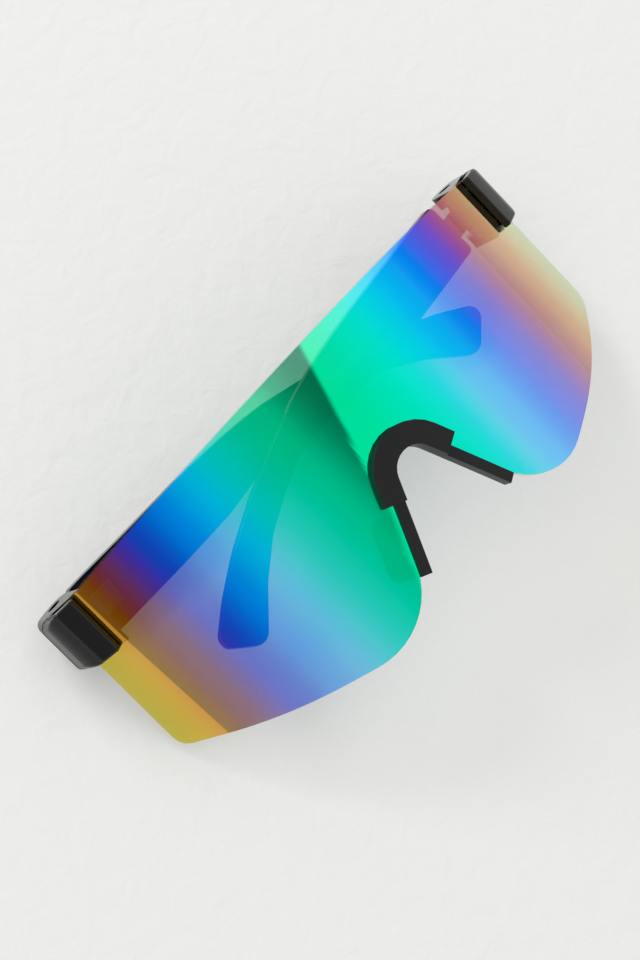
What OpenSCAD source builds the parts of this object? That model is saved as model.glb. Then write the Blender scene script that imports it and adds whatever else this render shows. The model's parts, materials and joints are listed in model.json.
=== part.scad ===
// Shield sunglasses: a one-piece curved lens, a nose piece, two end pieces and two folding temples.
// The parts are laid out as worn, X across, Y back towards the head and Z up to the brow,
// with the foremost line of the lens at Y = 0. They are then set down folded, lens uppermost.

/* [Lens] */
// Radius of the front surface
lens_r = 90.7; // [85:0.1:110]
// Thickness of the lens
lens_t = 1.8; // [1.6:0.1:2.4]
// Half of the width, measured along the curve
lens_half = 73.7; // [73:0.1:75]
// Height of the brow edge over the datum, at the middle
brow_h = 12.4; // [9:0.1:16]
// Drop of the brow edge from the middle to each end
brow_drop = 5.4; // [4.4:0.1:7]
// Depth of the lower outer corner under the datum
corner_low = 29.1; // [24:0.1:32]
// Rounding of the lower outer corner
corner_r = 4; // [2:0.5:5]
// Distance of the lower edge's bend from the lens's end, along the curve
sweep_in = 21.7; // [16:0.1:28]
// Depth of that bend under the datum
sweep_low = 38.2; // [36:0.1:40]
// Depth of the unrounded lobe corner
lobe_low = 46.9; // [44:0.1:49]
// Rounding of the lobe beside the nose
lobe_r = 16.6; // [10:0.1:18]
// Slope of the lens's own notch edge from upright, in degrees
notch_slope = 28; // [25:0.5:29]

/* [Nose piece] */
// Radius of the open arch over the nose
arch_r = 5; // [4:0.1:7]
// Depth of the top of the open arch under the datum
arch_low = 16.6; // [15.5:0.1:19]
// Slope of the arms from upright, in degrees
arm_slope = 24; // [20:0.5:26]
// Width of the arms that hold the notch edge
arm_w = 2.3; // [1.6:0.1:2.6]
// Wall between the open notch and the lens's edge
arm_wall = 0.9; // [0.6:0.05:1.2]
// Depth of the arms' lower ends under the datum
arm_low = 37.6; // [34:0.1:39]
// Height of the arms over the lens's front
arm_proud = 0.8; // [0.6:0.1:1.5]
// Depth of the nose piece behind the lens
arm_back = 0.7; // [0.6:0.1:1.8]
// Width of the bridge cover's band
cover_w = 4.9; // [4:0.1:7]
// Height of the bridge cover over the lens's front
cover_proud = 2; // [1.4:0.1:3]
// Depth of the bridge cover's ends under the datum
cover_low = 23.8; // [22:0.1:27]
// Radius of the pins that hold the bridge cover
peg_r = 0.9; // [0.6:0.1:1.2]
// Length of a nose pad along the arm
pad_len = 13.5; // [9:0.5:14]
// Reach of a nose pad behind the lens
pad_reach = 7.5; // [4:0.1:9]
// Thickness of a nose pad
pad_t = 1.2; // [0.8:0.1:1.4]
// Outward flare of a nose pad, in degrees
pad_flare = 21; // [10:1:30]

/* [End pieces] */
// Height of an end piece's top over the datum
end_top = 7.9; // [7.4:0.1:10]
// Depth of its underside
end_low = 6.1; // [5:0.1:7]
// Reach of the cap over the lens, along the curve
cap_reach = 6.6; // [6:0.1:9]
// Height of the cap's inner wall over the lens
cap_wall = 1.9; // [1.4:0.1:2.4]
// Slope of the cap's front back from its wall, in degrees
cap_slope = 38; // [34:0.5:46]
// Rounding of the cap from its front to its side
side_r = 7; // [3:0.1:9]
// Stand of the end piece outside the lens's end
end_wall = 2.3; // [1.8:0.1:3]
// Rounding of the end piece's outer corners, seen from the front
end_r = 2.4; // [0.8:0.1:4]
// Drop of its upper and lower edges towards its outside
end_taper = 0.4; // [0:0.1:0.8]
// Rounding of the block's outer back corner
block_r = 4.5; // [1:0.1:4.9]
// Radius of the screws that clamp the lens
clamp_r = 0.7; // [0.5:0.05:0.9]

/* [Hinges] */
// Distance of the hinge axis in from the end piece's outside
hinge_in = 5.7; // [5.2:0.1:6]
// Distance of the hinge axis behind the lens's end
hinge_back = 6.2; // [5.7:0.1:7]
// Radius of the rounded block end about the axis
hinge_round = 3.6; // [3.3:0.1:3.9]
// Radius of the knuckles
knuckle_r = 1.7; // [1.5:0.05:1.8]
// Radius of the hinge screw
screw_r = 0.75; // [0.5:0.05:0.9]
// Height of the temple's knuckle
knuckle_h = 2.6; // [2:0.1:3]
// Thickness of the hinge leaves
leaf_t = 0.9; // [0.7:0.05:1]

/* [Temples] */
// Thickness at the hinge
arm_t = 2.6; // [2:0.1:2.8]
// Thickness past the ear bend
tip_t = 2; // [1.6:0.1:2.2]
// Offset of the inner face from the hinge axis
face_in = 1.8; // [1.75:0.05:2]
// Gap between the temple's butt and the rounded block end
butt_gap = 0.6; // [0.45:0.05:0.8]
// Length from the hinge axis to the tip
temple_len = 113.3; // [104:0.1:116]
// Height of the top edge over the datum at the hinge
temple_top = 7.6; // [6.5:0.1:8]
// Depth of the lower edge at the hinge
temple_low = 5.6; // [5:0.1:6.5]
// Depth of the temple's tip
tip_low = 22.4; // [18:0.1:24]
// Gap between the folded right temple's tip and the lens
tip_gap = 1.6; // [1:0.1:2]
// Gap between the two folded temples where they come nearest
temple_gap = 0.4; // [0.4:0.05:1]
// Droop of the right temple in its hinge's play, in degrees
droop_right = 2.6; // [0:0.1:2.8]

/* [Hidden] */
$fn = 96;

// Clearances and overruns
fit_gap = 0.05;
free_gap = 0.1;
overrun = 20;

// Points along a rounded corner
arc_steps = 10;
function degrees(rad) = rad * 180 / PI;
function unit(v) = v / norm(v);
function corner(a, b, c, r) =
    let (p = unit(a - b), q = unit(c - b), half = acos(p * q) / 2, d = r / tan(half),
        m = b + unit(p + q) * r / sin(half), s = b + p * d, e = b + q * d,
        t0 = atan2(s[1] - m[1], s[0] - m[0]), t1 = atan2(e[1] - m[1], e[0] - m[0]),
        turn = t1 - t0 > 180 ? t1 - t0 - 360 : t1 - t0 < -180 ? t1 - t0 + 360 : t1 - t0)
    [for (i = [0:arc_steps]) m + r * [cos(t0 + turn * i / arc_steps), sin(t0 + turn * i / arc_steps)]];
// An open path whose inner corners are rounded by their own radii
function rounded(p, radii) = let (n = len(p)) concat([p[0]],
    [for (i = [1:n - 2]) each (radii[i] > 0 ? corner(p[i - 1], p[i], p[i + 1], radii[i]) : [p[i]])],
    [p[n - 1]]);
function flipped(p) = [for (i = [len(p) - 1:-1:0]) [-p[i][0], p[i][1]]];

// From a place along the lens's curve to its distance across, and to a point in plan
function across(u) = lens_r * sin(degrees(u / lens_r));
function plan(u, off) = let (t = degrees(u / lens_r))
    [(lens_r + off) * sin(t), lens_r - (lens_r + off) * cos(t)];
function unrolled(p) = [for (q = p) [across(q[0]), q[1]]];

// The ends of the lens, and what is set from them
end_x = across(lens_half);
end_y = plan(lens_half, 0)[1];
end_half = end_x + end_wall;
hinge_x = end_half - hinge_in;
hinge_y = end_y + hinge_back;
cap_at = lens_half - cap_reach;
cap_ridge = plan(cap_at, cap_wall);
sweep_at = lens_half - sweep_in;

// Fold of the right temple past square, at which its tip comes to the gap from the lens
hinge_from_centre = [hinge_x, hinge_y - lens_r];
tip_from_hinge = [face_in, temple_len];
tip_turn = acos((pow(lens_r - lens_t - tip_gap, 2) - pow(norm(hinge_from_centre), 2) - pow(norm(tip_from_hinge), 2))
    / (2 * norm(hinge_from_centre) * norm(tip_from_hinge)));
fold_right = atan2(hinge_from_centre[1], hinge_from_centre[0]) + 270 - tip_turn - atan2(temple_len, face_in);

// Fold of the left temple past square, at which it lies that gap behind the right one's back. They come nearest
// where its top edge drops below the right one, at this share of its length, or at the right one's root.
cross_share = 0.885;
taper_shares = [0.35, 0.65];
butt_at = hinge_round + butt_gap;
near_at = max(butt_at, (2 * hinge_x - cross_share * temple_len) / cos(fold_right));
right_backs = [[near_at, arm_t], [max(near_at, taper_shares[0] * temple_len), arm_t],
    [taper_shares[1] * temple_len, tip_t], [(taper_shares[1] + cross_share) / 2 * temple_len, tip_t]];
function fold_clear_of(at, thick) = let (back = face_in + thick,
    p = [2 * hinge_x - back * sin(fold_right) - at * cos(fold_right),
        back * cos(fold_right) - at * sin(fold_right) + temple_gap])
    atan2(p[0], p[1]) - acos(face_in / norm(p));
fold_left = min([for (q = right_backs) fold_clear_of(q[0], q[1])]);

// The lens's outline, along the curve and up
brow_steps = 24;
lens_arch_r = arch_r + arm_wall;
lens_apex = arm_wall - arch_low + lens_arch_r / sin(notch_slope) - lens_arch_r;
lobe_at = (lobe_low + lens_apex) * tan(notch_slope);
function brow(u) = brow_h - brow_drop * pow(u / lens_half, 2);
lower_path = rounded([[lens_half, brow(lens_half)], [lens_half, -corner_low], [sweep_at, -sweep_low],
    [lobe_at, -lobe_low], [0, lens_apex]], [0, corner_r, 2 * lens_r, lobe_r, 0]);
notch_side = [sin(notch_slope), -cos(notch_slope)];
arch_path = corner([0, lens_apex] + [-notch_side[0], notch_side[1]] * lens_r, [0, lens_apex],
    [0, lens_apex] + notch_side * lens_r, lens_arch_r);
half_path = [for (i = [0:len(lower_path) - 2]) lower_path[i]];
lens_outline = concat([for (i = [-brow_steps:brow_steps - 1])
    let (u = lens_half * i / brow_steps) [u, brow(u)]], half_path,
    [for (i = [len(arch_path) - 1:-1:0]) arch_path[i]], flipped(half_path));

// A band that follows the nose, from its open side at offset "from" out to offset "to"
function apex(r, top) = top + r / sin(arm_slope) - r;
function band_side(offset, low) = let (r = arch_r + offset, z0 = apex(r, offset - arch_low),
    foot = [(apex(arch_r, -arch_low) + low) * tan(arm_slope), -low]
        + offset * [cos(arm_slope), sin(arm_slope)])
    concat([foot], [for (q = corner(foot, [0, z0], [-foot[0], foot[1]], r)) q], [[-foot[0], foot[1]]]);
function band(from, to, low) = let (a = band_side(from, low), b = band_side(to, low))
    concat(a, [for (i = [len(b) - 1:-1:0]) b[i]]);

// Solids that several pieces share
module as_worn_sheet(outline, off_in, off_out) {
    intersection() {
        translate([0, lens_r + overrun, 0])
            rotate([90, 0, 0])
                linear_extrude(lens_r + 2 * overrun) polygon(unrolled(outline));
        translate([0, lens_r, -overrun * 3])
            linear_extrude(overrun * 4) difference() {
                circle(r = lens_r + off_out, $fn = 360);
                circle(r = lens_r + off_in, $fn = 360);
            }
        translate([0, 0, -overrun * 3]) linear_extrude(overrun * 4)
            polygon([[0, lens_r], plan(-lens_half, lens_r), plan(lens_half, lens_r)]);
    }
}
module radial(u, z) {
    translate([0, lens_r, z]) rotate([0, 0, degrees(u / lens_r)]) rotate([90, 0, 0]) children();
}
module side(s) {
    if (s > 0) children();
    else mirror([1, 0, 0]) children();
}

// The clamp screws of one end piece, as places along the curve and up
clamp_at = (cap_at + lens_half) / 2;
clamp_rise = (end_top + end_low) * 0.29;
end_mid = (end_top - end_low) / 2;
clamp_zs = [end_mid - clamp_rise, end_mid + clamp_rise];
clamp_seat = -5.2;
clamp_head_r = 2 * clamp_r;
clamp_head_h = clamp_r * 1.6;
clamp_reach = cap_wall * 0.7;

// The bridge pins, as a place along the curve and up
peg_at = (arch_r + cover_w * 0.62) * cos(arm_slope);
peg_z = -arch_low - arch_r + (arch_r + cover_w * 0.62) * sin(arm_slope);

module lens_holes(r) {
    for (s = [-1, 1], z = clamp_zs) radial(s * clamp_at, z)
        cylinder(r = r + free_gap, h = lens_r + overrun);
    for (s = [-1, 1]) radial(s * peg_at, peg_z)
        cylinder(r = peg_r + free_gap, h = lens_r + overrun);
}
module lens() {
    color([0.1, 0.75, 0.65, 0.6]) difference() {
        as_worn_sheet(lens_outline, -lens_t, 0);
        lens_holes(clamp_r);
    }
}

// The lens with room round it, cut from what grips it
module lens_room() {
    as_worn_sheet([for (q = lens_outline) abs(q[0]) < lobe_at && q[1] < 0
        ? q - fit_gap * [sign(q[0]), 1] : q], -lens_t - fit_gap, fit_gap);
}
module bridge_cover() {
    color([0.09, 0.09, 0.095]) difference() {
        as_worn_sheet(band(0, cover_w, cover_low), fit_gap, cover_proud);
        for (s = [-1, 1]) radial(s * peg_at, peg_z)
            cylinder(r = peg_r + fit_gap, h = lens_r + cover_proud / 2);
    }
}
module bridge_pins() {
    peg_foot = lens_r - lens_t - arm_back / 2;
    color([0.09, 0.09, 0.095]) for (s = [-1, 1]) radial(s * peg_at, peg_z)
        translate([0, 0, peg_foot]) cylinder(r = peg_r, h = lens_r + cover_proud / 2 - fit_gap - peg_foot);
}
// The slot in each arm that a nose pad's root stands in
pad_root = arm_back * 0.45;
arm_back_w = pad_t + 2 * arm_wall;
module pad_place(s, grow) {
    pad_foot = band_side(arm_back_w / 2, arm_low);
    side(s) translate([across(pad_foot[0][0]), lens_t + pad_foot[0][0] * pad_foot[0][0] / lens_r / 2
        + arm_back - pad_root - grow, pad_foot[0][1]])
        rotate([0, -arm_slope, 0]) rotate([0, 0, -pad_flare]) translate([-pad_t / 2 - grow, 0, -grow])
            children();
}
module nose_pad(s) {
    round_r = pad_reach * 0.35;
    depth = pad_root + pad_reach;
    color([0.1, 0.1, 0.1]) pad_place(s, 0)
        intersection() {
            cube([pad_t, depth, pad_len]);
            translate([-overrun, 0, 0]) rotate([90, 0, 90]) linear_extrude(2 * overrun)
                polygon(rounded([[0, 0], [depth, 0], [depth, pad_len], [0, pad_len], [0, 0]],
                    [0, round_r, round_r, 0, 0]));
        }
}
module nose_frame() {
    color([0.09, 0.09, 0.095]) difference() {
        union() {
            as_worn_sheet(band(0, arm_w, arm_low), -lens_t - arm_back, arm_proud);
            as_worn_sheet(band(0, arm_back_w, arm_low), -lens_t - arm_back, -lens_t - fit_gap);
            as_worn_sheet(band(0, cover_w, cover_low), -lens_t - arm_back, -lens_t - fit_gap);
        }
        lens_room();
        as_worn_sheet(band(-overrun / 8, cover_w + fit_gap, cover_low + fit_gap), 0, cover_proud + fit_gap);
        for (s = [-1, 1]) {
            radial(s * peg_at, peg_z) translate([0, 0, lens_r - lens_t - arm_back / 2 - fit_gap])
                cylinder(r = peg_r + fit_gap, h = overrun);
            pad_place(s, fit_gap) cube([pad_t + 2 * fit_gap, pad_root + arm_back + overrun / 8,
                pad_len + 2 * fit_gap]);
        }
    }
}

// An end piece in plan: the cap over the lens's end and the block behind it
cap_in = plan(cap_at, -lens_t)[0];
cap_path = rounded([plan(cap_at, -lens_t), cap_ridge,
    [end_half, cap_ridge[1] + (end_half - cap_ridge[0]) * tan(cap_slope)], [end_half, hinge_y], [cap_in, hinge_y]],
    [0, cap_wall / 6, side_r, 0, 0]);
block_in = hinge_x - hinge_round;
block_back = hinge_y + hinge_round;
block_corner = corner([end_half, hinge_y], [end_half, block_back], [hinge_x, block_back], block_r);

// Its outline from the front, across and up
end_outline = rounded([[0, end_top], [cap_in, end_top], [end_half, end_top - end_taper],
    [end_half, end_taper - end_low], [cap_in, -end_low], [0, -end_low]],
    [0, 2 * side_r, end_r, end_r, 2 * side_r, 0]);
module end_piece() {
    intersection() {
        translate([0, 0, -end_low]) linear_extrude(end_low + end_top) children();
        rotate([90, 0, 0]) translate([0, 0, -2 * lens_r]) linear_extrude(2 * lens_r) polygon(end_outline);
    }
}
module in_disc(r) {
    translate([0, lens_r]) circle(r = r, $fn = 360);
}
module end_cap(s) {
    slot_end = plan(lens_half + free_gap, 0);
    color([0.03, 0.03, 0.03]) side(s) difference() {
        end_piece() difference() {
            polygon(cap_path);
            in_disc(lens_r - lens_t);
            intersection() {
                in_disc(lens_r + fit_gap);
                polygon([[0, lens_r], plan(cap_at - overrun, overrun), plan(lens_half + free_gap, overrun)]);
            }
        }
        for (z = clamp_zs) radial(clamp_at, z) cylinder(r = clamp_r + fit_gap, h = lens_r + clamp_reach);
    }
}
// The pocket for the hinge, open inwards and back
pocket_low = end_mid - knuckle_h * 1.5 - 2 * free_gap;
pocket_top = end_mid + knuckle_h * 1.5 + 2 * free_gap;
leaf_out = face_in;
leaf_in = face_in - leaf_t;
leaf_reach = hinge_round + 0.6;
module end_block(s) {
    color([0.03, 0.03, 0.03]) side(s) difference() {
        end_piece() intersection() {
            in_disc(lens_r - lens_t - fit_gap);
            union() {
                polygon(concat([[block_in, hinge_y], [block_in, 0], [end_half, 0]], block_corner,
                    [[hinge_x, block_back], [hinge_x, hinge_y]]));
                translate([hinge_x, hinge_y]) circle(r = hinge_round);
            }
        }
        translate([0, 0, pocket_low]) linear_extrude(pocket_top - pocket_low)
            translate([hinge_x - overrun, hinge_y - knuckle_r - 2 * free_gap])
                square([overrun + leaf_out + fit_gap, overrun]);
        translate([hinge_x + leaf_in - fit_gap, hinge_y - leaf_reach - fit_gap, end_mid - knuckle_h * 1.5 - fit_gap])
            cube([leaf_t + 2 * fit_gap, leaf_reach, knuckle_h * 3 + 2 * fit_gap]);
        translate([hinge_x, hinge_y, end_mid]) cylinder(r = 2 * screw_r + free_gap, h = overrun);
        for (z = clamp_zs) radial(clamp_at, z) {
            cylinder(r = clamp_r + free_gap, h = lens_r);
            cylinder(r = clamp_head_r + free_gap, h = lens_r + clamp_seat);
        }
    }
}
module clamp_screws(s) {
    color([0.55, 0.55, 0.57]) side(s) for (z = clamp_zs) radial(clamp_at, z) {
        translate([0, 0, lens_r + clamp_seat]) cylinder(r = clamp_r, h = clamp_reach - clamp_seat - fit_gap);
        translate([0, 0, lens_r + clamp_seat - clamp_head_h]) cylinder(r = clamp_head_r, h = clamp_head_h);
    }
}

// Hinges, about their axis: X outwards, Y back along the open temple
module at_hinge(s) {
    side(s) translate([hinge_x, hinge_y, end_mid]) children();
}
module folded(s) {
    at_hinge(s) rotate([0, s > 0 ? -droop_right : 0, 0])
        rotate([0, 0, 90 + (s > 0 ? fold_right : fold_left)]) children();
}
module front_leaf(s) {
    stack = knuckle_h * 3;
    color([0.5, 0.5, 0.52]) at_hinge(s) difference() {
        union() {
            for (k = [-1, 1]) {
                translate([0, 0, k * knuckle_h - knuckle_h / 2 + (k > 0 ? free_gap / 2 : -free_gap / 2)])
                    cylinder(r = knuckle_r, h = knuckle_h);
                translate([leaf_in, -leaf_reach, k * knuckle_h - knuckle_h / 2])
                    cube([leaf_t, leaf_reach, knuckle_h]);
            }
            translate([leaf_in, -leaf_reach, -stack / 2])
                cube([leaf_t, leaf_reach - knuckle_r - 2 * free_gap, stack]);
        }
        translate([0, 0, -overrun]) cylinder(r = screw_r + fit_gap, h = 2 * overrun);
    }
}
stud_r = leaf_t * 0.65;
leaf_neck = knuckle_r + 4 * free_gap;
leaf_len = knuckle_h * 4.6;
module temple_leaf(s) {
    color([0.5, 0.5, 0.52]) folded(s) {
        difference() {
            union() {
                cylinder(r = knuckle_r, h = knuckle_h - free_gap, center = true);
                translate([leaf_in, 0, -(knuckle_h - free_gap) / 2])
                    cube([leaf_t, leaf_neck + leaf_t, knuckle_h - free_gap]);
                translate([leaf_in, leaf_neck, -knuckle_h])
                    cube([leaf_t, leaf_len - leaf_neck, 2 * knuckle_h]);
                for (y = stud_ys) translate([leaf_out - leaf_t / 2, y, 0]) rotate([0, 90, 0])
                    cylinder(r = stud_r, h = leaf_t / 2 + arm_t / 2);
            }
            cylinder(r = screw_r + fit_gap, h = overrun, center = true);
        }
    }
}
stud_ys = [leaf_len * 0.55, leaf_len * 0.85];
module hinge_screw(s) {
    head_h = screw_r;
    color([0.5, 0.5, 0.52]) at_hinge(s) {
        translate([0, 0, -knuckle_h * 1.5]) cylinder(r = screw_r, h = knuckle_h * 3 + free_gap);
        difference() {
            translate([0, 0, knuckle_h * 1.5 + free_gap]) cylinder(r = 2 * screw_r, h = head_h);
            translate([-overrun / 2, -screw_r / 5, knuckle_h * 1.5 + free_gap + head_h / 2])
                cube([overrun, screw_r * 0.4, head_h]);
        }
    }
}

// A temple's side view, as shares of its length and of its drop from the top edge to the tip.
top_shares = [[0.17, 0.01], [0.32, 0.02], [0.38, 0.03], [0.44, 0.045], [0.5, 0.07], [0.545, 0.095],
    [0.63, 0.175], [0.735, 0.28], [0.84, 0.425], [0.92, 0.57]];
low_shares = [[0.24, 0.455], [0.35, 0.455], [0.44, 0.42], [0.51, 0.385], [0.58, 0.365], [0.63, 0.39],
    [0.685, 0.45], [0.765, 0.565], [0.84, 0.735], [0.905, 0.93]];
drop = temple_top + tip_low;
function temple_point(share) = [share[0] * temple_len, temple_top - share[1] * drop];
temple_outline = rounded(concat(
    [[butt_at * 2, temple_top]],
    [for (q = top_shares) temple_point(q)],
    [[temple_len, temple_top - 0.75 * drop], [temple_len * 0.927, -tip_low]],
    [for (i = [len(low_shares) - 1:-1:0]) temple_point(low_shares[i])],
    [[butt_at, -temple_low], [butt_at, temple_top], [butt_at * 2, temple_top]]),
    concat([0], [for (q = top_shares) temple_len / 3], [arm_t, arm_t * 1.2],
    [for (q = low_shares) temple_len / 9], [arm_t / 2, arm_t / 2, 0]));
module temple(s) {
    color([0.03, 0.03, 0.03]) folded(s) difference() {
        intersection() {
            translate([0, 0, -end_mid]) rotate([90, 0, 90]) linear_extrude(face_in + arm_t)
                polygon(temple_outline);
            translate([0, 0, -overrun * 3]) linear_extrude(overrun * 6) polygon(rounded([
                [face_in, 0], [face_in, temple_len + overrun], [face_in + tip_t, temple_len + overrun],
                [face_in + tip_t, temple_len * taper_shares[1]],
                [face_in + arm_t, temple_len * taper_shares[0]], [face_in + arm_t, 0], [face_in, 0]],
                [0, 0, 0, temple_len, temple_len, 0, 0]));
        }
        for (y = stud_ys) translate([0, y, 0]) rotate([0, 90, 0])
            cylinder(r = stud_r + fit_gap, h = face_in + arm_t / 2 + free_gap);
    }
}

// How it lies: on its left lens corner, its left temple's heel and its left temple's tip.
function in_fold(p, s) = let (t = 90 + (s > 0 ? fold_right : fold_left))
    [s * (hinge_x + p[0] * cos(t) - p[1] * sin(t)), hinge_y + p[0] * sin(t) + p[1] * cos(t), p[2]];
function lowest(points, up) = let (h = [for (p = points) p * up]) points[search(min(h), h)[0]];
function normal(p) = unit(cross(p[2] - p[0], p[1] - p[0]));
lens_corner = [for (i = [1:1 + arc_steps]) lower_path[i]];
function lens_side(off) = let (u_end = lens_r * asin(plan(lens_half, off)[0] / lens_r) * PI / 180,
    edge = concat([for (q = lens_outline) if (abs(q[0]) < u_end) q],
        [for (s = [-1, 1], z = [brow(u_end), lookup(u_end, lens_corner)]) [s * u_end, z]]))
    [for (q = edge) [across(q[0]), lens_r - sqrt(pow(lens_r + off, 2) - pow(across(q[0]), 2)), q[1]]];
function temple_side(x, s) = [for (q = temple_outline) in_fold([x, q[0], q[1]], s)];
lens_rear = lens_side(-lens_t);
left_lens_rear = [for (p = lens_rear) if (p[0] < 0) p];
left_heel = [for (p = temple_side(face_in + arm_t, -1)) if (p[0] < 0) p];
left_tip = [for (p = temple_side(face_in + tip_t, -1)) if (p[0] > 0) p];
rough_up = normal([[-lens_half, hinge_y * 0.8, -corner_low], [-hinge_x, hinge_y + face_in + arm_t, -temple_low],
    [hinge_x, hinge_y + face_in + tip_t, -tip_low]]);
feet = [for (side = [left_lens_rear, left_heel, left_tip]) lowest(side, rough_up)];
table_up = normal(feet);
rest_tilt = atan2(table_up[2], -table_up[1]);
rest_roll = asin(table_up[0]);
function set_down(p) = let (t = rest_tilt - 90, y = p[1] * cos(t) - p[2] * sin(t),
    z = p[1] * sin(t) + p[2] * cos(t)) [p[0] * cos(rest_roll) - z * sin(rest_roll), y,
    p[0] * sin(rest_roll) + z * cos(rest_roll)];
end_sides = [for (s = [-1, 1], q = end_outline, p = concat(cap_path, block_corner))
    [s * min(q[0], p[0]), p[1], q[1]]];
set_points = [for (p = concat(lens_rear, lens_side(0), left_heel, left_tip, end_sides)) set_down(p)];
lows = [for (i = [0:2]) min([for (p = set_points) p[i]])];
highs = [for (i = [0:2]) max([for (p = set_points) p[i]])];
module at_rest() {
    translate([-(lows[0] + highs[0]) / 2, -(lows[1] + highs[1]) / 2, -lows[2]])
        rotate([0, -rest_roll, 0]) rotate([rest_tilt - 90, 0, 0]) children();
}

at_rest() lens();
at_rest() bridge_cover();
at_rest() nose_frame();
at_rest() nose_pad(-1);  // left_nose_pad
at_rest() nose_pad(1);  // right_nose_pad
at_rest() bridge_pins();
at_rest() end_cap(-1);  // left_end_cap
at_rest() end_cap(1);  // right_end_cap
at_rest() end_block(-1);  // left_end_block
at_rest() end_block(1);  // right_end_block
at_rest() clamp_screws(-1);  // left_clamp_screws
at_rest() clamp_screws(1);  // right_clamp_screws
at_rest() front_leaf(-1);  // left_front_leaf
at_rest() front_leaf(1);  // right_front_leaf
at_rest() hinge_screw(-1);  // left_hinge_screw
at_rest() hinge_screw(1);  // right_hinge_screw
at_rest() temple_leaf(-1);  // left_temple_leaf
at_rest() temple_leaf(1);  // right_temple_leaf
at_rest() temple(-1);  // left_temple
at_rest() temple(1);  // right_temple
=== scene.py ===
"""Folded shield sunglasses with a one-piece rainbow mirror lens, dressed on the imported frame."""

import json
import logging
import math
from abc import ABC, abstractmethod
from dataclasses import dataclass, field
from enum import Enum

import bmesh
import bpy
from mathutils import Euler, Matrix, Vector

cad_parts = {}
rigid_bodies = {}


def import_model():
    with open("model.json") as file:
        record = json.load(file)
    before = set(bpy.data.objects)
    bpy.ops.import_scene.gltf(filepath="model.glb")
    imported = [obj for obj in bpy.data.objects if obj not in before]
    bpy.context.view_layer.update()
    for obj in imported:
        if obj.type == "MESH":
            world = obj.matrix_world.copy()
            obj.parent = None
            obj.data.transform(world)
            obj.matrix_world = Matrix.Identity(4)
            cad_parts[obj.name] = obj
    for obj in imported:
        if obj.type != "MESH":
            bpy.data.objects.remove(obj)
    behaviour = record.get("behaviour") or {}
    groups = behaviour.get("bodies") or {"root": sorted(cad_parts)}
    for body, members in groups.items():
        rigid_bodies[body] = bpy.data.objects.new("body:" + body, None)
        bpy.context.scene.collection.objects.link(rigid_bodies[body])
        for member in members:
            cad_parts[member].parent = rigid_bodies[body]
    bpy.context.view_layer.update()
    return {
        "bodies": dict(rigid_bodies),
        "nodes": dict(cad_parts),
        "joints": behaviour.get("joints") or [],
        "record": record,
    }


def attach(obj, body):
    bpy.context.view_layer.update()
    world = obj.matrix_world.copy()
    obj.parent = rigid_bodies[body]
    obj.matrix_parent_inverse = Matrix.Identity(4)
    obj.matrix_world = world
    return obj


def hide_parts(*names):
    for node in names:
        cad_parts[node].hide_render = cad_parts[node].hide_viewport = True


LOG = logging.getLogger("sunglasses")
MM = 0.001
LENS_MAP = "lens_map"
LENS_FRONT = "lens_front"

# The range that most of a noise lies in
NOISE_RANGE = (0.3, 0.7)

Socket = bpy.types.NodeSocket

# What a node's input takes: another node's output, a number or a colour
Feed = Socket | float | tuple

# What the lens's coat reflects, from the left end to the right one: a distance along the lens's
# curve from its middle, in millimetres, and a colour as written on screen
REFLECTED = (
    (-73, (200, 178, 64)), (-66, (206, 148, 50)), (-61, (196, 92, 58)), (-56, (156, 80, 172)),
    (-51, (72, 82, 255)), (-45, (2, 124, 255)), (-38, (0, 172, 255)), (-30, (0, 218, 232)),
    (-20, (0, 236, 184)), (-8, (0, 236, 166)), (3, (0, 236, 176)), (14, (0, 234, 220)),
    (22, (1, 208, 250)), (29, (11, 170, 255)), (35, (44, 122, 255)), (44, (136, 90, 222)),
    (50, (200, 106, 152)), (56, (224, 146, 124)), (63, (232, 188, 134)), (73, (220, 230, 182)))

# What the coat lets through, in the same form but in linear colours: its own colour darkened as
# painted shade of the table behind
LET_THROUGH_AND_SHADE = (
    (-73, (0.7, 0.8, 0.25)), (-65, (0.9, 0.9, 0.4)), (-60, (0.9, 0.9, 0.9)),
    (-55, (1.0, 0.95, 0.9)), (-50, (1.0, 1.0, 0.9)), (-45, (1.0, 1.0, 0.4)),
    (-40, (1.0, 0.95, 0.2)), (-35, (0.95, 0.6, 0.1)), (-28, (0.3, 0.35, 0.3)),
    (-20, (0.0, 0.35, 0.45)), (-10, (0.0, 0.12, 0.1)), (10, (0.0, 0.2, 0.1)),
    (17, (0.2, 0.2, 0.1)), (21, (0.8, 0.35, 0.1)), (25, (1.0, 0.45, 0.1)),
    (35, (1.0, 0.85, 0.15)), (45, (0.8, 1.0, 0.4)), (50, (0.6, 1.0, 0.8)),
    (57, (0.7, 1.0, 0.85)), (73, (0.8, 0.9, 0.85)))


class Body(Enum):
    """The bodies of the frame that pieces ride on."""

    FRONT = "front"
    LEFT = "left_temple"
    RIGHT = "right_temple"


class Side(Enum):
    """The two sides of the glasses, as the nodes' names begin."""

    LEFT = "left"
    RIGHT = "right"


class Slot(Enum):
    """The record's material slots."""

    LENS = "lens"
    FRAME = "frame"
    GLOSS = "gloss"
    PAD = "pad"
    METAL = "metal"


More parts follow.
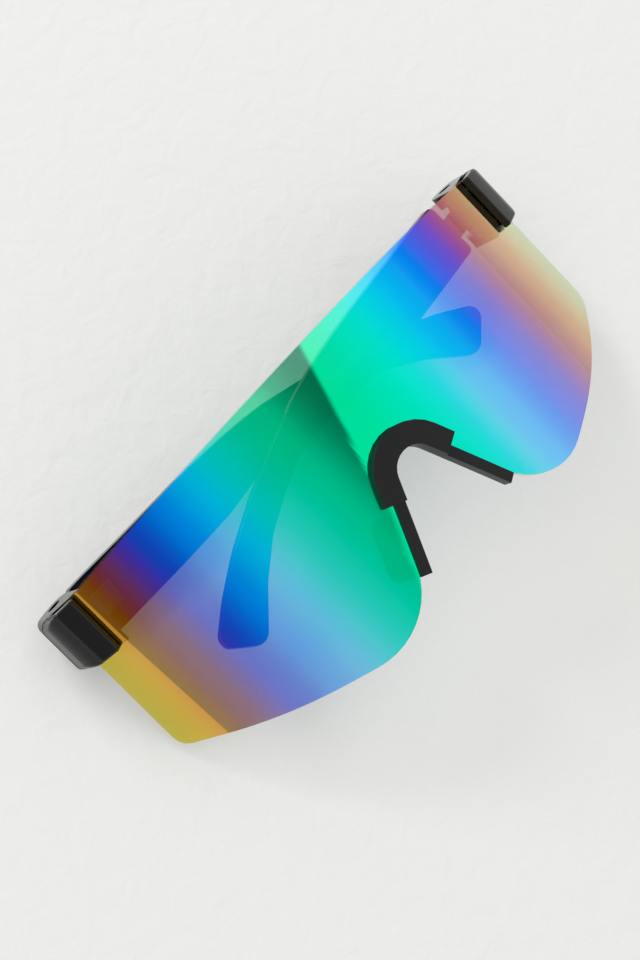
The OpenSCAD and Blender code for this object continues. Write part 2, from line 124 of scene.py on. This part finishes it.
@dataclass(frozen=True)
class Worn:
    """The axes of the glasses as worn, found from the frame's two hinges.

    Attributes:
        origin: the foremost point of the lens's front, level with the datum.
        across: towards the right end.
        back: towards the head.
        up: towards the brow.
    """

    origin: Vector
    across: Vector
    back: Vector
    up: Vector

    @classmethod
    def from_joints(cls, joints: list, hinge_back: float, hinge_up: float) -> "Worn":
        """Works the axes out.

        Args:
            joints: the frame's joints, the left hinge first.
            hinge_back: how far the hinges are behind the lens's foremost line.
            hinge_up: the height of the hinges' middle over the datum.

        Returns:
            The axes.
        """
        left, right = (Vector(joint["pos_m"]) for joint in joints)
        across = (right - left).normalized()
        up = Vector(joints[0]["axis"]).normalized()
        back = up.cross(across).normalized()
        origin = (left + right) / 2 - back * hinge_back - up * hinge_up
        return cls(origin, across, back, up)

    def local(self, point: Vector) -> Vector:
        """Turns a point of the frame into one across, back and up."""
        offset = point - self.origin
        return Vector((offset.dot(self.across), offset.dot(self.back), offset.dot(self.up)))


class Tree:
    """A material's or world's node tree, with short calls for what the finishes use."""

    def __init__(self, tree: bpy.types.NodeTree) -> None:
        """Takes a node tree over and empties it."""
        self.tree = tree
        tree.nodes.clear()

    def node(self, kind: str, inputs: dict | None = None, **settings: str) -> bpy.types.Node:
        """Adds a node.

        Args:
            kind: its type, without the ShaderNode in front.
            inputs: by socket name or number, a value or another node's output.
            settings: properties of the node itself.

        Returns:
            The node.
        """
        made = self.tree.nodes.new("ShaderNode" + kind)
        for name, value in settings.items():
            setattr(made, name, value)
        for name, value in (inputs or {}).items():
            if isinstance(value, Socket):
                self.tree.links.new(value, made.inputs[name])
            else:
                made.inputs[name].default_value = value
        return made

    def math(self, operation: str, first: Feed, second: Feed) -> Socket:
        """Adds a Math node.

        Args:
            operation: what it works out.
            first: a value or another node's output.
            second: the same.

        Returns:
            Its output.
        """
        return self.node("Math", {0: first, 1: second}, operation=operation).outputs[0]

    def span(self, value: Feed, was: tuple, becomes: tuple, **settings: str) -> Socket:
        """Adds a Map Range node.

        Args:
            value: what it reads.
            was: the ends of the range that it reads.
            becomes: the ends of the range that it gives.
            settings: properties of the node itself.

        Returns:
            Its output.
        """
        ends = {"From Min": was[0], "From Max": was[1], "To Min": becomes[0], "To Max": becomes[1]}
        return self.node("MapRange", {"Value": value, **ends}, **settings).outputs["Result"]

    def noise(self, scale: float, detail: float, distortion: float = 0.0) -> Socket:
        """Adds noise that stays in place on its piece.

        Args:
            scale: its lumps to a metre.
            detail: how many finer layers it has.
            distortion: how far its lumps are swirled.

        Returns:
            Its output.
        """
        place = self.node("TexCoord").outputs["Object"]
        return self.node("TexNoise", {"Vector": place, "Scale": scale, "Detail": detail,
                                      "Distortion": distortion}).outputs["Fac"]

    def patches(self, scale: float, detail: float, becomes: tuple) -> Socket:
        """Adds noise whose usual range is stretched over another.

        Args:
            scale: its lumps to a metre.
            detail: how many finer layers it has.
            becomes: the ends of the range that it gives.

        Returns:
            Its output.
        """
        return self.span(self.noise(scale, detail), NOISE_RANGE, becomes)

    def bump(self, height: Socket, strength: float, depth: float) -> Socket:
        """Adds a relief.

        Args:
            height: the output that it follows.
            strength: how much of it shows.
            depth: how deep it is, in metres.

        Returns:
            The normal that shows it.
        """
        return self.node("Bump", {"Height": height, "Strength": strength,
                                  "Distance": depth}).outputs["Normal"]

    def mix(self, share: Feed, first: Feed, second: Feed) -> Socket:
        """Adds a mix of two colours and returns its output."""
        return self.node("MixRGB", {"Fac": share, "Color1": first,
                                    "Color2": second}).outputs["Color"]

    def blend(self, share: Feed, first: bpy.types.Node, second: bpy.types.Node) -> Socket:
        """Adds a mix of two shaders and returns its output."""
        return self.node("MixShader", {"Fac": share, 1: first.outputs[0],
                                       2: second.outputs[0]}).outputs["Shader"]

    def ramp(self, value: Feed, stops: list, smooth: bool = True) -> Socket:
        """Adds a colour ramp.

        Args:
            value: what it reads.
            stops: pairs of a place from 0 to 1 and a colour.
            smooth: eased between the stops, or straight.

        Returns:
            Its colour.
        """
        made = self.node("ValToRGB", {"Fac": value})
        ramp = made.color_ramp
        ramp.interpolation = "CARDINAL" if smooth else "LINEAR"
        ready = len(ramp.elements)
        for index, (place, colour) in enumerate(stops):
            element = ramp.elements[index] if index < ready else ramp.elements.new(place)
            element.position = place
            element.color = (*colour, 1)
        return made.outputs["Color"]

    def output(self, shader: Socket) -> None:
        """Joins a shader to the surface."""
        self.node("OutputMaterial", {"Surface": shader})


def srgb(red: int, green: int, blue: int) -> tuple:
    """Makes a colour as written on screen linear, by the standard's curve."""
    return tuple(c / 12.92 if c <= 0.04045 else ((c + 0.055) / 1.055) ** 2.4
                 for c in (red / 255, green / 255, blue / 255))


def new_material(name: str) -> tuple[bpy.types.Material, Tree]:
    """Makes an empty node material and its tree."""
    material = bpy.data.materials.new(name)
    material.use_nodes = True
    return material, Tree(material.node_tree)


def show(name: str, data: bpy.types.ID) -> bpy.types.Object:
    """Puts a mesh, a lamp or a camera into the scene under a name."""
    shown = bpy.data.objects.new(name, data)
    bpy.context.scene.collection.objects.link(shown)
    return shown


@dataclass(frozen=True)
class Plastic:
    """A moulded black plastic or rubber.

    Attributes:
        colour: its linear colour.
        rough: its roughness.
        grain: the size of its surface grain, in metres.
        relief: how much of the grain shows.
        wear: how far the roughness wanders in broad patches.
        shine: how strongly it reflects, where 0.5 is plain plastic.
        patches: how many of the broad patches there are to a metre.
        depth_share: the grain's depth as a share of its size.
    """

    colour: tuple
    rough: float
    grain: float
    relief: float
    wear: float
    shine: float
    patches: float = 90.0
    depth_share: float = 0.2

    def material(self, name: str) -> bpy.types.Material:
        """Builds the finish.

        Args:
            name: the material's name.

        Returns:
            The material.
        """
        material, tree = new_material(name)
        rough = tree.patches(self.patches, detail=4.0, becomes=(self.rough, self.rough + self.wear))
        fine = tree.noise(1 / self.grain, detail=3.0)
        normal = tree.bump(fine, self.relief, self.grain * self.depth_share)
        shader = tree.node("BsdfPrincipled", {
            "Base Color": (*self.colour, 1), "Roughness": rough,
            "Specular IOR Level": self.shine, "Normal": normal})
        tree.output(shader.outputs["BSDF"])
        return material


@dataclass(frozen=True)
class Steel:
    """A brushed metal.

    Attributes:
        colour: its linear colour.
        rough: its roughness.
        marks: how many brush marks there are to a metre.
        spread_shares: the least and the greatest roughness, as shares of rough.
    """

    colour: tuple
    rough: float
    marks: float = 2500.0
    spread_shares: tuple = (0.7, 1.4)

    def material(self, name: str) -> bpy.types.Material:
        """Builds the finish.

        Args:
            name: the material's name.

        Returns:
            The material.
        """
        material, tree = new_material(name)
        ends = tuple(self.rough * share for share in self.spread_shares)
        rough = tree.span(tree.noise(self.marks, detail=3.0), (0.0, 1.0), ends)
        shader = tree.node("BsdfPrincipled", {
            "Base Color": (*self.colour, 1), "Metallic": 1.0, "Roughness": rough})
        tree.output(shader.outputs["BSDF"])
        return material


@dataclass(frozen=True)
class Mirror:
    """The lens: clear plastic with a mirror coat on its front, rainbow-coloured from end to end.

    Attributes:
        half: half the lens's width along its curve, in metres.
        bands: what the coat reflects, in the form of REFLECTED.
        glass: what it lets through below the temples, in the form of LET_THROUGH_AND_SHADE,
            darkened as
        painted shade of the table, which lies in the lens's own shade.
        brow_glass: the linear colour that it lets through above them, lighter as painted light
        where the table behind is lit directly.
        brow: the heights between which the one turns into the other, as shares of the lens's
            height.
        clear: the linear colour that the other faces let through.
        rough: the mirror's roughness.
        coat: how much of the front is the mirror.
        rear: how much of the other faces reflects.
        cloud: how far the coat's strength wanders in broad patches.
        patches: how many of those patches there are to a metre.
    """

    half: float
    bands: tuple
    glass: tuple
    brow_glass: tuple
    brow: tuple
    clear: tuple
    rough: float
    coat: float
    rear: float
    cloud: float
    patches: float = 60.0

    def share(self, distance: float) -> float:
        """Turns millimetres along the curve from its middle into a share of the lens's width."""
        return (distance / (self.half / MM) + 1) / 2

    def reflection(self, tree: Tree, along: Socket) -> bpy.types.Node:
        """Makes the mirror.

        Args:
            tree: the material's tree.
            along: the place along the lens, as a share of its width.

        Returns:
            The mirror's shader.
        """
        stops = [(self.share(distance), srgb(*colour)) for distance, colour in self.bands]
        return tree.node("BsdfPrincipled", {
            "Base Color": tree.ramp(along, stops), "Metallic": 1.0, "Roughness": self.rough})

    def passage(self, tree: Tree, along: Socket, up: Socket, front: Socket) -> bpy.types.Node:
        """Makes what light passes through.

        Args:
            tree: the material's tree.
            along: the place along the lens, as a share of its width.
            up: the place up the lens, as a share of its height.
            front: 1 on the front and 0 on the other faces.

        Returns:
            The transparent shader.
        """
        stops = [(self.share(distance), colour) for distance, colour in self.glass]
        # Below the temples the colour let through is darkened as painted shade; above them it is
        # lighter as painted light
        high = tree.span(up, self.brow, (0.0, 1.0))
        tint_and_shade = tree.mix(high, tree.ramp(along, stops), (*self.brow_glass, 1))
        return tree.node("BsdfTransparent", {"Color": tree.mix(front, (*self.clear, 1), tint_and_shade)})

    def material(self, name: str) -> bpy.types.Material:
        """Builds the finish.

        Args:
            name: the material's name.

        Returns:
            The material.
        """
        material, tree = new_material(name)
        place = tree.node("UVMap", uv_map=LENS_MAP).outputs["UV"]
        along, up = tree.node("SeparateXYZ", {"Vector": place}).outputs[:2]
        front = tree.node("VertexColor", layer_name=LENS_FRONT).outputs["Color"]
        ends = (self.coat - self.cloud, self.coat + self.cloud)
        strength = tree.patches(self.patches, detail=2.0, becomes=ends)
        coated = tree.span(front, (0.0, 1.0), (self.rear, strength))
        tree.output(tree.blend(coated, self.passage(tree, along, up, front),
                               self.reflection(tree, along)))
        return material


@dataclass
class Copy:
    """A copy of one CAD node with its edges softened, which stands for that node.

    Attributes:
        node: the CAD node's name.
        body: the body it rides on.
        slot: the material slot it takes.
        edge: the width of its softened edges, in metres.
        held: whether that width is held back where two edges lie close.
        merge: how near to each other two points are one, in metres.
        flat: the angle in degrees up to which neighbouring faces are one.
        crease: the angle in degrees from which an edge is softened and not smoothed over.
        steps: how many faces a softened edge has across it.
        piece: the object, once built.
    """

    node: str
    body: Body
    slot: Slot
    edge: float
    held: bool = True
    merge: float = 1e-6
    flat: float = 0.4
    crease: float = 30.0
    steps: int = 3
    piece: bpy.types.Object | None = field(default=None, repr=False)

    def mesh(self, frame: dict) -> bpy.types.Mesh:
        """Makes whole faces of the CAD node's loose triangles.


        Returns:
            The new mesh, smooth but for its creases.
        """
        made = bpy.data.meshes.new(self.node + "_piece")
        shape = bmesh.new()
        shape.from_mesh(frame["nodes"][self.node].data)
        bmesh.ops.remove_doubles(shape, verts=shape.verts, dist=self.merge)
        bmesh.ops.dissolve_limit(shape, angle_limit=math.radians(self.flat), verts=shape.verts,
                                 edges=shape.edges, delimit=set())
        for edge in shape.edges:
            edge.smooth = edge.calc_face_angle(0) < math.radians(self.crease)
        for face in shape.faces:
            face.smooth = True
        shape.to_mesh(made)
        shape.free()
        return made

    def soften(self) -> None:
        """Rounds the piece's creases."""
        soften = self.piece.modifiers.new("soften", "BEVEL")
        soften.width = self.edge
        soften.segments = self.steps
        soften.limit_method = "ANGLE"
        soften.angle_limit = math.radians(self.crease)
        soften.harden_normals = True
        soften.use_clamp_overlap = self.held

    def build(self, frame: dict, material: bpy.types.Material) -> bpy.types.Object:
        """Makes the piece.

        Args:
            material: its finish.

        Returns:
            The new object.
        """
        mesh = self.mesh(frame)
        mesh.materials.append(material)
        self.piece = show(self.node + "_piece", mesh)
        self.soften()
        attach(self.piece, self.body.value)
        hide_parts(self.node)
        return self.piece


class SubAssembly(ABC):
    """A sub-assembly of the glasses, made of softened copies of its CAD nodes."""

    @abstractmethod
    def copies(self) -> list[Copy]:
        """Names its pieces, which are not built yet."""

    def build(self, frame: dict, finishes: dict) -> list[bpy.types.Object]:
        """Builds and dresses its pieces.

        Args:
            finishes: the material of each slot.

        Returns:
            Their objects.
        """
        return [copy.build(frame, finishes[copy.slot]) for copy in self.copies()]


@dataclass(frozen=True)
class Lens(SubAssembly):
    """The shield lens, with the maps that its finish follows. Its sizes are in metres.

    Attributes:
        radius: the radius of its front's curve.
        half: half its width along that curve.
        low: how far its lobes reach below the datum.
        high: how far its brow edge is above the datum.
        hinge_back: how far the hinges are behind its foremost line.
        hinge_up: the height of the hinges' middle over the datum.
        front_cosine: the cosine of the angle to straight outwards up to which a face is the
            front's.
        edge: the width of its softened edges.
    """

    radius: float = 90.7 * MM
    half: float = 73.7 * MM
    low: float = 46.9 * MM
    high: float = 12.4 * MM
    hinge_back: float = 34.5315 * MM
    hinge_up: float = 0.9 * MM
    front_cosine: float = 0.8
    edge: float = 0.2 * MM

    def copies(self) -> list[Copy]:
        """Names the lens alone."""
        return [Copy("lens", Body.FRONT, Slot.LENS, self.edge)]

    def build(self, frame: dict, finishes: dict) -> list[bpy.types.Object]:
        """Builds the lens and lays its maps over it.

        Args:
            finishes: the material of each slot.

        Returns:
            A list of its one object.
        """
        pieces = super().build(frame, finishes)
        worn = Worn.from_joints(frame["joints"], self.hinge_back, self.hinge_up)
        for piece in pieces:
            self.mark_front(piece.data, worn)
            self.map_curve(piece.data, worn)
        return pieces

    def mark_front(self, mesh: bpy.types.Mesh, worn: Worn) -> None:
        """Marks the front's faces white in a colour attribute, and the others black.

        Args:
            mesh: the lens's mesh.
            worn: the axes of the glasses.
        """
        marks = mesh.color_attributes.new(name=LENS_FRONT, type="BYTE_COLOR", domain="CORNER")
        for face in mesh.polygons:
            middle = worn.local(face.center)
            outwards = Vector((middle.x, middle.y - self.radius, 0)).normalized()
            facing = Vector((face.normal.dot(worn.across), face.normal.dot(worn.back), 0))
            shade = 1.0 if facing.dot(outwards) > self.front_cosine else 0.0
            for loop in face.loop_indices:
                marks.data[loop].color = (shade, shade, shade, 1.0)

    def map_curve(self, mesh: bpy.types.Mesh, worn: Worn) -> None:
        """Lays a map along the curve by u, and from the lowest to the highest point by v.

        Args:
            mesh: the lens's mesh.
            worn: the axes of the glasses.
        """
        layer = mesh.uv_layers.new(name=LENS_MAP)
        for loop in mesh.loops:
            place = worn.local(mesh.vertices[loop.vertex_index].co)
            along = self.radius * math.atan2(place.x, self.radius - place.y)
            rise = (place.z + self.low) / (self.low + self.high)
            layer.data[loop.index].uv = ((along / self.half + 1) / 2, rise)


@dataclass(frozen=True)
class NosePiece(SubAssembly):
    """The bridge cover, the nose frame behind it, their pins and the two nose pads.

    Attributes:
        cover_edge: the width of the cover's softened edges, in metres.
        frame_edge: that of the frame's.
        pin_edge: that of the pins'.
        pad_edge: that of the pads'.
    """

    cover_edge: float = 0.45 * MM
    frame_edge: float = 0.15 * MM
    pin_edge: float = 0.1 * MM
    pad_edge: float = 0.3 * MM

    def copies(self) -> list[Copy]:
        """Names its five pieces."""
        return [Copy("bridge_cover", Body.FRONT, Slot.FRAME, self.cover_edge),
                Copy("nose_frame", Body.FRONT, Slot.FRAME, self.frame_edge),
                Copy("bridge_pins", Body.FRONT, Slot.FRAME, self.pin_edge),
                Copy("left_nose_pad", Body.FRONT, Slot.PAD, self.pad_edge),
                Copy("right_nose_pad", Body.FRONT, Slot.PAD, self.pad_edge)]


@dataclass(frozen=True)
class EndPiece(SubAssembly):
    """The cap and block that clamp one end of the lens, and the front's share of the hinge.

    Attributes:
        side: the end that it is on.
        cap_edge: the width of the cap's softened edges, in metres.
        block_edge: that of the block's.
        metal_edge: that of the screws' and the leaf's.
    """

    side: Side
    cap_edge: float = 0.5 * MM
    block_edge: float = 0.25 * MM
    metal_edge: float = 0.1 * MM

    def copies(self) -> list[Copy]:
        """Names its five pieces."""
        side = self.side.value
        return [Copy(side + "_end_cap", Body.FRONT, Slot.GLOSS, self.cap_edge, held=False),
                Copy(side + "_end_block", Body.FRONT, Slot.GLOSS, self.block_edge),
                Copy(side + "_clamp_screws", Body.FRONT, Slot.METAL, self.metal_edge),
                Copy(side + "_front_leaf", Body.FRONT, Slot.METAL, self.metal_edge),
                Copy(side + "_hinge_screw", Body.FRONT, Slot.METAL, self.metal_edge)]


@dataclass(frozen=True)
class Temple(SubAssembly):
    """One temple and its hinge leaf.

    Attributes:
        side: the end that it is hinged to.
        edge: the width of the temple's softened edges, in metres.
        metal_edge: that of the leaf's.
    """

    side: Side
    edge: float = 0.4 * MM
    metal_edge: float = 0.1 * MM

    def copies(self) -> list[Copy]:
        """Names its two pieces."""
        side, body = self.side.value, Body[self.side.name]
        return [Copy(side + "_temple_leaf", body, Slot.METAL, self.metal_edge),
                Copy(side + "_temple", body, Slot.GLOSS, self.edge)]


@dataclass(frozen=True)
class Finishes:
    """Every finish of the object.

    Attributes:
        satin: that of the bridge cover, the nose frame and their pins.
        gloss: that of the end pieces and the temples.
        rubber: that of the nose pads.
        steel: that of the screws and the hinge leaves.
        mirror: that of the lens.
    """

    satin: Plastic = Plastic(colour=(0.006, 0.0062, 0.0062), rough=0.34, grain=0.35 * MM,
                             relief=0.25, wear=0.08, shine=0.26)
    gloss: Plastic = Plastic(colour=(0.004, 0.004, 0.004), rough=0.06, grain=0.6 * MM,
                             relief=0.04, wear=0.05, shine=0.36)
    rubber: Plastic = Plastic(colour=(0.012, 0.012, 0.012), rough=0.6, grain=0.3 * MM,
                              relief=0.4, wear=0.1, shine=0.4)
    steel: Steel = Steel(colour=(0.1, 0.1, 0.104), rough=0.35)
    # The lens's colour let through holds painted shade below the temples and painted light above
    # them
    mirror: Mirror = Mirror(half=Lens.half, bands=REFLECTED, glass=LET_THROUGH_AND_SHADE,
                            brow_glass=(0.55, 1.0, 0.9), brow=(0.76, 0.84),
                            clear=(0.93, 0.95, 0.94), rough=0.02, coat=0.73, rear=0.06,
                            cloud=0.02)

    def materials(self) -> dict[Slot, bpy.types.Material]:
        """Builds the material of each slot."""
        return {Slot.LENS: self.mirror.material("lens_mirror"),
                Slot.FRAME: self.satin.material("satin_black"),
                Slot.GLOSS: self.gloss.material("gloss_black"),
                Slot.PAD: self.rubber.material("pad_rubber"),
                Slot.METAL: self.steel.material("steel")}


@dataclass(frozen=True)
class Table:
    """The plastered table that the object lies on.

    Attributes:
        reach: half its width, in metres.
        colour: its linear colour.
        glow: how much of its light is its plain colour, which lightens the shadows on it.
        rough: its roughness.
        shine: how strongly it reflects, where 0.5 is plain plastic.
        dabs: how many dabs of plaster there are to a metre.
        swirl: how far the dabs are swirled.
        relief: how much of the dabs shows.
        depth: how deep they are, in metres.
    """

    reach: float = 2.0
    colour: tuple = (0.845, 0.845, 0.83)
    glow: float = 0.35
    rough: float = 0.85
    shine: float = 0.2
    dabs: float = 170.0
    swirl: float = 0.6
    relief: float = 0.6
    depth: float = 0.6 * MM

    def material(self) -> bpy.types.Material:
        """Builds the plaster's finish."""
        material, tree = new_material("table")
        normal = tree.bump(tree.noise(self.dabs, detail=4.0, distortion=self.swirl),
                           self.relief, self.depth)
        plaster = tree.node("BsdfPrincipled", {
            "Base Color": (*self.colour, 1), "Roughness": self.rough,
            "Specular IOR Level": self.shine, "Normal": normal})
        plain = tree.node("Emission", {"Color": (*self.colour, 1), "Strength": 1.0})
        seen = tree.node("LightPath").outputs["Is Camera Ray"]
        tree.output(tree.blend(tree.math("MULTIPLY", seen, self.glow), plaster, plain))
        return material

    def build(self) -> None:
        """Lays the table at the height that the object stands on."""
        mesh = bpy.data.meshes.new("table")
        shape = bmesh.new()
        bmesh.ops.create_grid(shape, x_segments=1, y_segments=1, size=self.reach)
        shape.to_mesh(mesh)
        shape.free()
        mesh.materials.append(self.material())
        table = show("table", mesh)


@dataclass(frozen=True)
class Room:
    """The light from all round, and the room that the mirror and the gloss show.

    Attributes:
        ambient: the strength of the light from all round.
        wall: the side of the room that is bright in the mirror, as the normal of its straight
            edge.
        wall_blur: how soft that edge is.
        bright: how bright that side is in the mirror.
        horizon: how bright it is where it meets the table.
        horizon_rise: the height, as a share of the way up, over which it brightens.
        dusk: how bright the rest of the room is in the mirror, from -X to +X.
        floor_rise: the height, as a share of the way up, under which its -X side is bright.
    """

    ambient: float = 0.8
    wall: tuple = (0.228, -0.822, -0.522)
    wall_blur: float = 0.004
    bright: float = 1.18
    horizon: float = 0.88
    horizon_rise: float = 0.45
    dusk: tuple = ((-1.0, 0.37), (-0.88, 0.37), (-0.8, 0.46), (-0.72, 0.62), (-0.62, 0.9),
                   (-0.45, 1.0), (-0.3, 0.9), (-0.12, 0.78), (0.0, 0.72), (0.1, 0.45),
                   (0.2, 0.27), (0.32, 0.2))
    floor_rise: float = 0.25

    def bright_side(self, tree: Tree, towards: Socket, across: Socket, up: Socket) -> Socket:
        """Tells where the room is bright in the mirror.

        Args:
            tree: the world's tree.
            towards: the direction that is looked in.
            across: its share along X.
            up: its share along Z.

        Returns:
            An output that is 1 there and 0 elsewhere.
        """
        low = tree.math("MULTIPLY", tree.math("LESS_THAN", up, self.floor_rise),
                        tree.math("LESS_THAN", across, 0.0))
        facing = tree.node("VectorMath", {0: towards, 1: self.wall},
                           operation="DOT_PRODUCT").outputs["Value"]
        beyond = tree.span(facing, (-self.wall_blur, self.wall_blur), (0.0, 1.0),
                           interpolation_type="SMOOTHSTEP")
        return tree.math("MAXIMUM", beyond, low)

    def dim_side(self, tree: Tree, across: Socket) -> Socket:
        """Shades the rest of the room.

        Args:
            tree: the world's tree.
            across: the share along X of the direction that is looked in.

        Returns:
            The shade.
        """
        first, last = self.dusk[0][0], self.dusk[-1][0]
        stops = [((place - first) / (last - first), (level,) * 3) for place, level in self.dusk]
        return tree.ramp(tree.span(across, (first, last), (0.0, 1.0)), stops, smooth=False)

    def build(self) -> None:
        """Makes the world."""
        world = bpy.data.worlds.new("room")
        world.use_nodes = True
        bpy.context.scene.world = world
        tree = Tree(world.node_tree)
        towards = tree.node("TexCoord").outputs["Generated"]
        across, _, up = tree.node("SeparateXYZ", {"Vector": towards}).outputs
        level = tree.span(up, (0.0, self.horizon_rise), (self.horizon, self.bright))
        room = tree.mix(self.bright_side(tree, towards, across, up),
                        self.dim_side(tree, across), level)
        mirrored = tree.node("LightPath").outputs["Is Glossy Ray"]
        shade = tree.mix(mirrored, (*(self.ambient,) * 3, 1), room)
        light = tree.node("Background", {"Color": shade, "Strength": 1.0})
        tree.node("OutputWorld", {"Surface": light.outputs["Background"]})


@dataclass(frozen=True)
class KeyLamp:
    """The soft key lamp.

    Attributes:
        power: its strength, in watts.
        azimuth: its direction in degrees from +X.
        elevation: its height in degrees.
        distance: how far off it is, in metres.
        width: its width, in metres.
    """

    power: float = 10.5
    azimuth: float = 85.0
    elevation: float = 31.0
    distance: float = 1.6
    width: float = 0.55

    def build(self) -> None:
        """Hangs the lamp, facing the object."""
        turn, rise = math.radians(self.azimuth), math.radians(self.elevation)
        towards = Vector((math.cos(rise) * math.cos(turn), math.cos(rise) * math.sin(turn),
                          math.sin(rise)))
        lamp = bpy.data.lights.new("key", "AREA")
        lamp.energy = self.power
        lamp.size = self.width
        key = show("key", lamp)
        key.location = towards * self.distance
        key.rotation_euler = towards.to_track_quat("Z", "Y").to_euler()


@dataclass(frozen=True)
class Viewpoint:
    """The camera, as fitted to the photograph.

    Attributes:
        place: where it stands, in metres.
        turn: its turn in degrees about X, Y and Z.
        lens: its focal length, in millimetres.
        sensor: its sensor's width, in millimetres.
        near: the distance from which it sees, in metres.
    """

    place: tuple = (-0.20687, -0.08616, 0.51432)
    turn: tuple = (22.838, -6.369, -50.470)
    lens: float = 101.005
    sensor: float = 36.0
    near: float = 0.01

    def build(self) -> None:
        """Makes the camera the scene's own."""
        data = bpy.data.cameras.new("camera")
        data.lens = self.lens
        data.sensor_width = self.sensor
        data.sensor_fit = "AUTO"
        data.clip_start = self.near
        camera = show("camera", data)
        camera.location = self.place
        camera.rotation_euler = Euler([math.radians(angle) for angle in self.turn])
        bpy.context.scene.camera = camera


def main() -> None:
    """Builds the glasses, the room and the camera."""
    logging.basicConfig(level=logging.INFO, format="%(name)s: %(message)s")
    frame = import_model()
    bpy.context.scene.view_settings.view_transform = "Standard"
    finishes = Finishes().materials()
    glasses = [Lens(), NosePiece(), *map(EndPiece, Side), *map(Temple, Side)]
    for sub_assembly in glasses:
        for piece in sub_assembly.build(frame, finishes):
            LOG.info("%s: %d faces", piece.name, len(piece.data.polygons))
    for surroundings in (Table(), Room(), KeyLamp(), Viewpoint()):
        surroundings.build()


if __name__ == "__main__":
    main()
